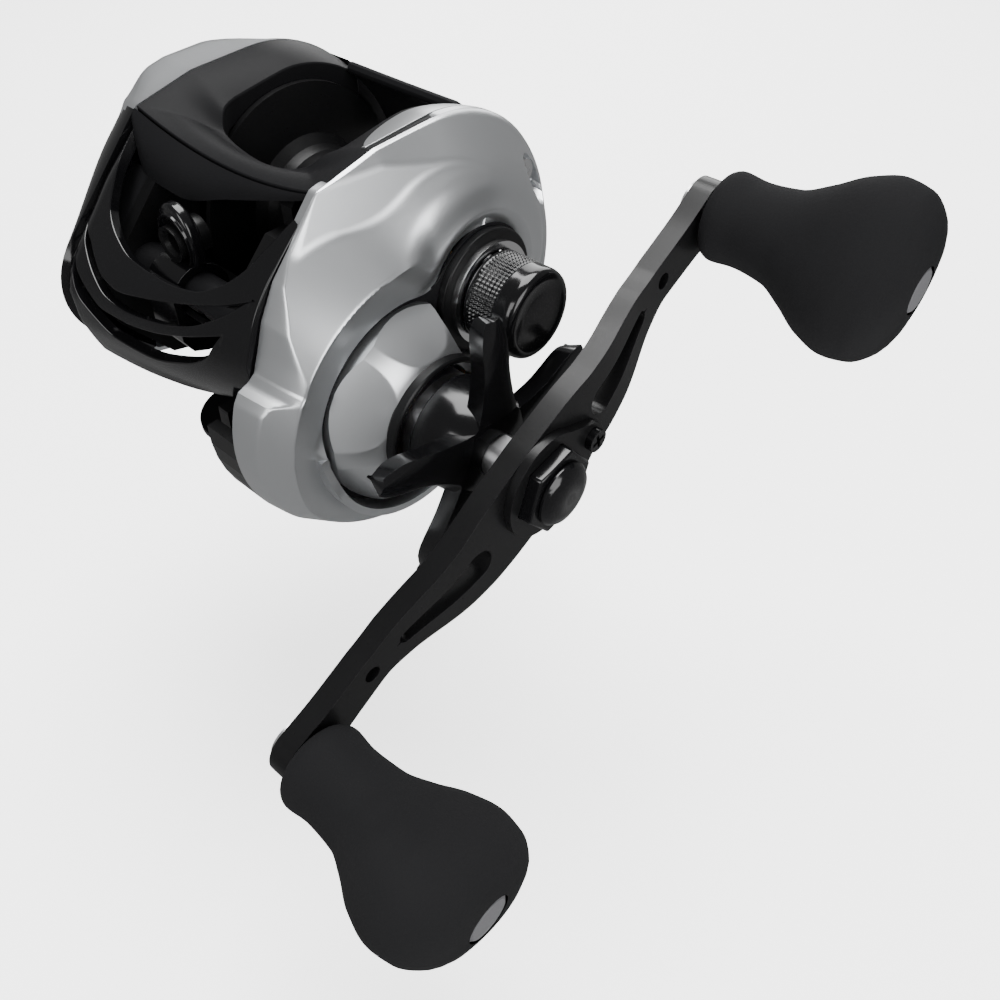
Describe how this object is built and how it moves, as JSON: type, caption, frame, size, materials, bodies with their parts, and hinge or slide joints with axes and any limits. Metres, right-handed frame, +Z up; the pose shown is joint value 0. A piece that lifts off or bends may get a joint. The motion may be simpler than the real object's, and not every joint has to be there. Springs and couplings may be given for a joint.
{
  "type": "baitcasting reel",
  "caption": "Low-profile fishing reel, left-hand retrieve: crank with paddle grips, star drag, geared spool, level-wind line guide and thumb release.",
  "frame": {"origin": "centre of the flat underside of the reel foot", "axes": "+X along the spool towards the handle, -Y towards the front where the line leaves, +Z up from the foot to the top cover"},
  "size_m": [0.1034, 0.0973, 0.0614],
  "materials": {
    "black_plastic": "fine matt",
    "satin_silver": "satin metallic",
    "bright_steel": "bright",
    "dull_steel": "machined",
    "brass_parts": "machined",
    "soft_grip": "soft matt",
    "grey_plastic": "matt",
    "gloss_black": "gloss",
    "black_metal": "black anodised"
  },
  "bodies": {
    "root": {"frame": "black_metal", "reel_foot": "black_metal", "foot_screws": "dull_steel", "handle_side_cover": "satin_silver", "cap_surround": "black_metal", "boss_collar": "black_metal", "cover_screws": "bright_steel", "palm_side_cover": "satin_silver", "palm_side_ring": "black_plastic", "brake_magnet_ring": "dull_steel", "top_cover": "black_plastic", "visor": "black_plastic", "front_hood": "gloss_black", "yoke_springs": "dull_steel", "palm_bearing": "dull_steel", "cap_bearing": "dull_steel", "pinion_bearing": "dull_steel", "anti_reverse_bearing": "dull_steel", "shaft_bearing": "dull_steel", "worm_tube": "black_plastic", "guide_rod": "dull_steel", "cap_ring": "bright_steel"},
    "crank": {"drive_shaft": "dull_steel", "drive_gear": "brass_parts", "drag_washer": "black_plastic", "pressure_washer": "dull_steel", "ratchet": "dull_steel", "shaft_sleeve": "dull_steel", "spring_washers": "dull_steel", "wind_drive_gear": "black_plastic", "handle_arm": "black_metal", "handle_nut": "gloss_black", "nut_retainer": "black_metal", "retainer_screw": "gloss_black", "nut_cap": "gloss_black", "knob_spindles": "dull_steel"},
    "spool": {"spool": "black_metal", "spool_shaft": "dull_steel", "clutch_pin": "dull_steel", "brake_rotor": "bright_steel"},
    "yoke": {"pinion_yoke": "black_plastic"},
    "pinion": {"pinion_gear": "brass_parts"},
    "worm": {"worm_shaft": "dull_steel", "worm_gear": "black_plastic"},
    "line_guide": {"line_guide": "black_plastic", "line_guide_ring": "bright_steel"},
    "pawl": {"pawl": "brass_parts"},
    "star": {"star_drag": "gloss_black", "star_nut": "brass_parts"},
    "cast_cap": {"cast_control_cap": "black_metal", "tension_washer": "brass_parts"},
    "brake_dial": {"brake_dial": "black_plastic"},
    "thumb_bar": {"thumb_bar": "black_metal"},
    "clutch_cam": {"clutch_cam": "dull_steel"},
    "upper_knob": {"upper_knob": "soft_grip", "upper_knob_cap": "grey_plastic"},
    "lower_knob": {"lower_knob": "soft_grip", "lower_knob_cap": "grey_plastic"}
  },
  "joints": [
    {"name": "crank_turn", "type": "hinge", "parent": "root", "child": "crank", "pos_m": [0.04, -0.014, 0.01037], "axis": [1, 0, 0], "continuous": true},
    {"name": "spool_turn", "type": "hinge", "parent": "root", "child": "spool", "pos_m": [0, 0, 0.022], "axis": [1, 0, 0], "continuous": true},
    {"name": "worm_turn", "type": "hinge", "parent": "root", "child": "worm", "pos_m": [0, -0.0265, 0.02262], "axis": [1, 0, 0], "continuous": true},
    {"name": "yoke_slide", "type": "slide", "parent": "root", "child": "yoke", "axis": [1, 0, 0], "range_m": [0, 0.0013], "deforming": ["yoke_springs"]},
    {"name": "pinion_turn", "type": "hinge", "parent": "yoke", "child": "pinion", "pos_m": [0.02, 0, 0.022], "axis": [1, 0, 0], "continuous": true},
    {"name": "line_guide_slide", "type": "slide", "parent": "root", "child": "line_guide", "axis": [1, 0, 0], "range_m": [-0.0043, 0.0093]},
    {"name": "pawl_swivel", "type": "hinge", "parent": "line_guide", "child": "pawl", "pos_m": [-0.0025, -0.0265, 0.01862], "axis": [0, 0, 1], "range_deg": [-20, 20]},
    {"name": "star_drag_turn", "type": "hinge", "parent": "crank", "child": "star", "pos_m": [0.038, -0.014, 0.01037], "axis": [1, 0, 0], "range_deg": [-360, 180]},
    {"name": "upper_knob_spin", "type": "hinge", "parent": "crank", "child": "upper_knob", "pos_m": [0.046, 0.02476, 0.03012], "axis": [1, 0, 0], "continuous": true},
    {"name": "lower_knob_spin", "type": "hinge", "parent": "crank", "child": "lower_knob", "pos_m": [0.046, -0.05276, -0.00938], "axis": [1, 0, 0], "continuous": true},
    {"name": "cast_cap_turn", "type": "hinge", "parent": "root", "child": "cast_cap", "pos_m": [0.032, 0, 0.022], "axis": [1, 0, 0], "range_deg": [-360, 180]},
    {"name": "brake_dial_turn", "type": "hinge", "parent": "root", "child": "brake_dial", "pos_m": [-0.027, 0, 0.022], "axis": [1, 0, 0], "range_deg": [-135, 135]},
    {"name": "thumb_bar_press", "type": "slide", "parent": "root", "child": "thumb_bar", "axis": [0, 0.6428, -0.766], "range_m": [0, 0.0045], "stiffness_N_per_m": 60},
    {"name": "clutch_cam_turn", "type": "hinge", "parent": "root", "child": "clutch_cam", "pos_m": [0.0136, -0.014, 0.01037], "axis": [1, 0, 0], "range_deg": [-20, 0]}
  ],
  "couplings": [
    {"joint": "spool_turn", "follows": "crank_turn", "ratio": -6.5833},
    {"joint": "pinion_turn", "follows": "crank_turn", "ratio": -6.5833},
    {"joint": "worm_turn", "follows": "crank_turn", "ratio": -2.8889},
    {"joint": "yoke_slide", "follows": "thumb_bar_press", "ratio": 0.28889},
    {"joint": "clutch_cam_turn", "follows": "thumb_bar_press", "rad_per_m": -69.813}
  ]
}
